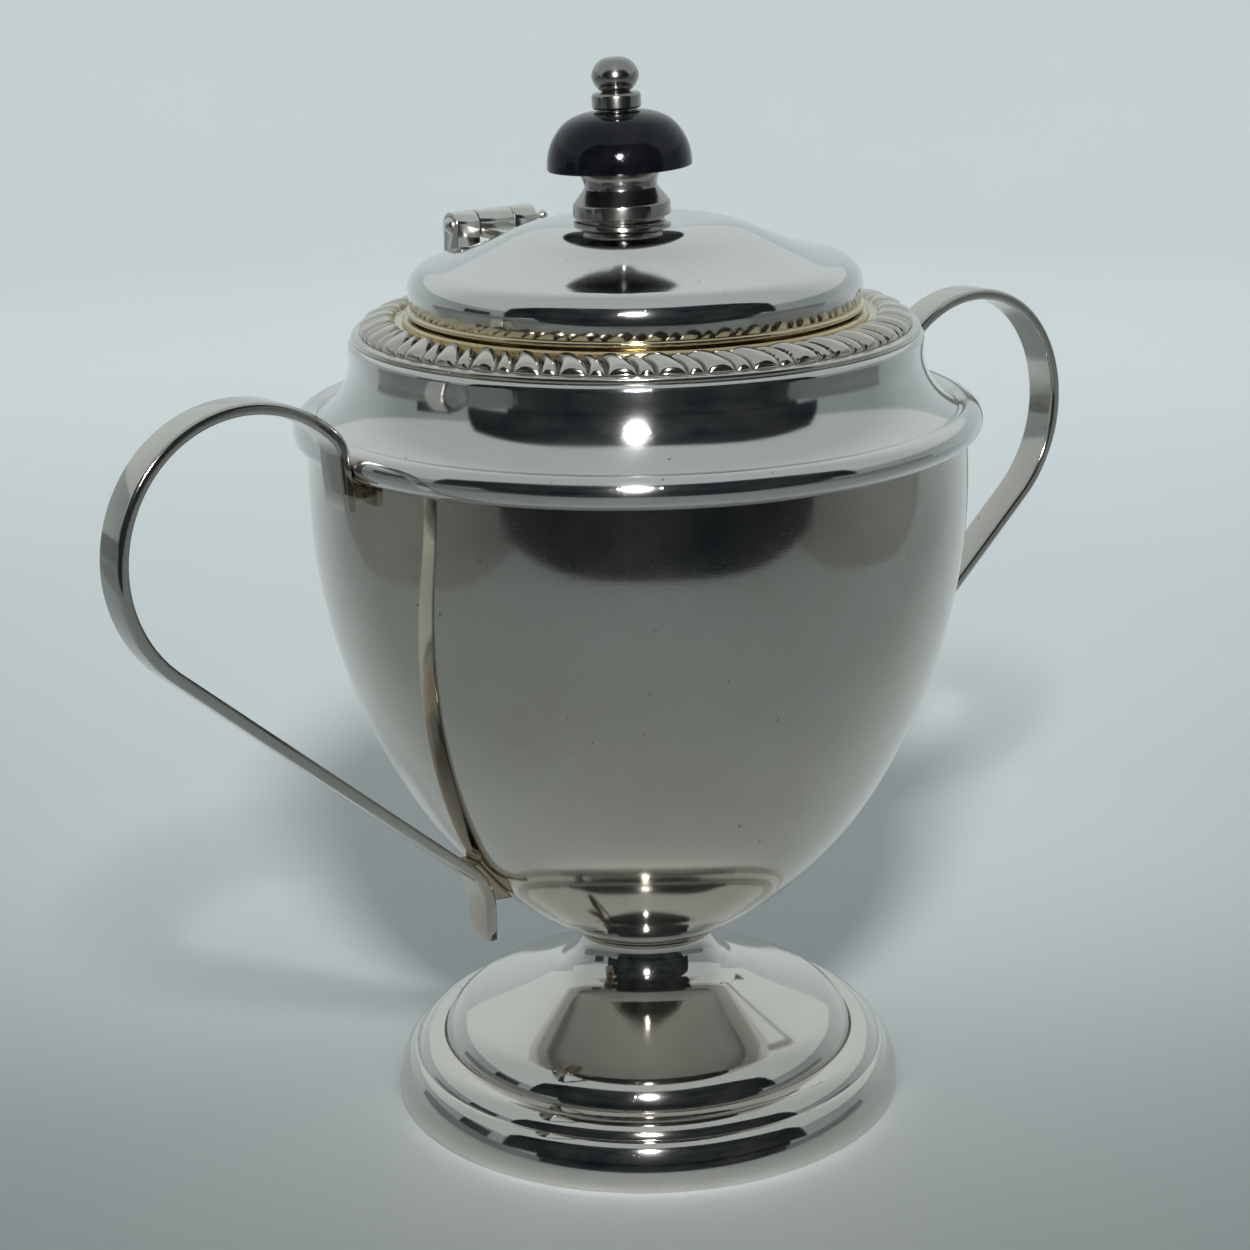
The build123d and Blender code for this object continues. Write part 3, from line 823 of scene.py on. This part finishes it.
def dark(name, profile, a0, a1, diffuse, taper=0.0, material=dark_card):
    """A card from angle a0 to a1, in degrees from the camera's azimuth. taper lowers its two ends, or
    draws them back from the object where it lies flat."""
    obj = surface(name, profile, material, 48, CAMERA_AZIMUTH + math.radians(a0),
                  CAMERA_AZIMUTH + math.radians(a1))
    if taper:
        middle, half = CAMERA_AZIMUTH + math.radians((a0 + a1) / 2), math.radians((a1 - a0) / 2)
        for v in obj.data.vertices:
            turn = (math.atan2(v.co.y, v.co.x) - middle + math.pi) % (2 * math.pi) - math.pi
            near_end = taper * min(1, abs(turn) / half) ** 4
            if v.co.z > 0.001:
                v.co.z *= 1 - near_end
            elif v.co.xy.length < 0.4:
                v.co.xy *= 1 + near_end
    obj.visible_camera = False
    obj.visible_shadow = False
    obj.visible_transmission = False
    obj.visible_diffuse = diffuse
    return obj


high = [(0.62, 0.0)] + [(0.66 * math.cos(a), 0.1 + 0.66 * math.sin(a)) for a in
                        (math.radians(5 * k) for k in range(0, 11))]
dark("room_front", high, -49, 62, True, 0.25)
dark("room_above", [(0.61, 0.14)] + [q for q in high if q[1] > 0.15], -66, 71, True, 0.45)
dark("room_side", [(0.59, 0.0), (0.59, 0.09)], -118, -47, False, 0.3, grey_card)
dark("room_right", [(0.59, 0.0), (0.59, 0.07)], 59, 106, False, 0.3, grey_card)
dark("table_front", [(0.29, 0.0006), (0.62, 0.0006)], -45, 58, False, 0.7)
dark("table_left", [(0.25, 0.0005), (0.61, 0.0005)], -118, -36, False, 0.9, grey_card)
dark("table_right", [(0.28, 0.0005), (0.61, 0.0005)], 48, 106, False, 0.7, grey_card)
dark("room_left", [(0.60, 0.06), (0.60, 0.20)], -91, -74, False)

# --------------------------------------------------------------------- light, camera


def world_light():
    """Soft light from all round, stronger from behind the object."""
    world = bpy.data.worlds.new("soft_room")
    bpy.context.scene.world = world
    world.use_nodes = True
    tree = world.node_tree
    back = tree.nodes["Background"]
    back.inputs["Color"].default_value = (0.90, 0.985, 0.995, 1)
    where = tree.nodes.new("ShaderNodeTexCoord")
    toward = tree.nodes.new("ShaderNodeVectorMath")
    toward.operation = "DOT_PRODUCT"
    toward.inputs[1].default_value = (-math.cos(CAMERA_AZIMUTH), -math.sin(CAMERA_AZIMUTH), 0)
    span = tree.nodes.new("ShaderNodeMapRange")
    span.interpolation_type = "SMOOTHSTEP"
    span.inputs["From Min"].default_value = 0.15
    span.inputs["From Max"].default_value = 0.8
    span.inputs["To Min"].default_value = 0.49
    span.inputs["To Max"].default_value = 0.68
    tree.links.new(where.outputs["Generated"], toward.inputs[0])
    tree.links.new(toward.outputs["Value"], span.inputs["Value"])
    tree.links.new(span.outputs["Result"], back.inputs["Strength"])


world_light()


def photo_direction(right, away, up):
    """A point given as the camera sees it: to its right, away from it, and up, in millimetres."""
    c, s = math.cos(CAMERA_AZIMUTH), math.sin(CAMERA_AZIMUTH)
    return Vector((-s * right - c * away, c * right - s * away, up)) * MM


def aim(obj, at):
    obj.rotation_euler = (at - obj.location).to_track_quat("-Z", "Y").to_euler()


def spot(name, at, toward, energy, radius, cone, blend):
    data = bpy.data.lights.new(name, "SPOT")
    data.energy, data.color, data.shadow_soft_size = energy, (0.95, 0.985, 1.0), radius
    data.spot_size, data.spot_blend = math.radians(cone), blend
    obj = bpy.data.objects.new(name, data)
    obj.location = at
    bpy.context.scene.collection.objects.link(obj)
    aim(obj, toward)
    return obj


# One lamp lights the matt surfaces and throws the shadows, and reflections don't show it. The other is
# the small bright point that reflections show, and it lights nothing matt.
floor_lamp = spot("floor_lamp", photo_direction(16, -350, 370), photo_direction(0, 252, 165),
                  13.5, 0.035, 67.0, 0.85)
floor_lamp.visible_glossy = False
flash = spot("flash", photo_direction(0, -343, 273), photo_direction(0, 100, 60), 15.0, 0.016, 110, 0.3)
flash.visible_diffuse = False


def back_lamp():
    """A wide lamp over the back of the table that brightens the paper behind the object."""
    data = bpy.data.lights.new("back_lamp", "AREA")
    data.energy, data.color = 5.5, (0.97, 0.99, 1.0)
    data.shape = "RECTANGLE"
    data.size, data.size_y = 1.4, 0.3
    obj = bpy.data.objects.new("back_lamp", data)
    obj.location = photo_direction(0, 380, 650)
    obj.visible_glossy = False
    bpy.context.scene.collection.objects.link(obj)
    aim(obj, photo_direction(0, 1200, 330))


back_lamp()


def main_camera():
    """The camera of the main view: angles in radians, distances in millimetres."""
    pitch, yaw, roll = 0.29052, -0.00637, -0.01922
    distance, height = 343.64, 170.66
    data = bpy.data.cameras.new("camera")
    data.sensor_width = 36.0
    data.lens = 74.67
    data.clip_start, data.clip_end = 0.01, 20
    obj = bpy.data.objects.new("camera", data)
    bpy.context.scene.collection.objects.link(obj)
    eye = photo_direction(0, -distance, height)
    forward = photo_direction(math.sin(yaw) * math.cos(pitch), math.cos(yaw) * math.cos(pitch),
                              -math.sin(pitch))
    forward.normalize()
    level = forward.cross(Vector((0, 0, 1))).normalized()
    upward = level.cross(forward)
    right = level * math.cos(roll) + upward * math.sin(roll)
    upward = upward * math.cos(roll) - level * math.sin(roll)
    obj.matrix_world = Matrix((
        (right.x, upward.x, -forward.x, eye.x),
        (right.y, upward.y, -forward.y, eye.y),
        (right.z, upward.z, -forward.z, eye.z),
        (0, 0, 0, 1),
    ))
    return obj


scene = bpy.context.scene
scene.camera = main_camera()
scene.view_settings.view_transform = "Standard"
scene.view_settings.look = "None"
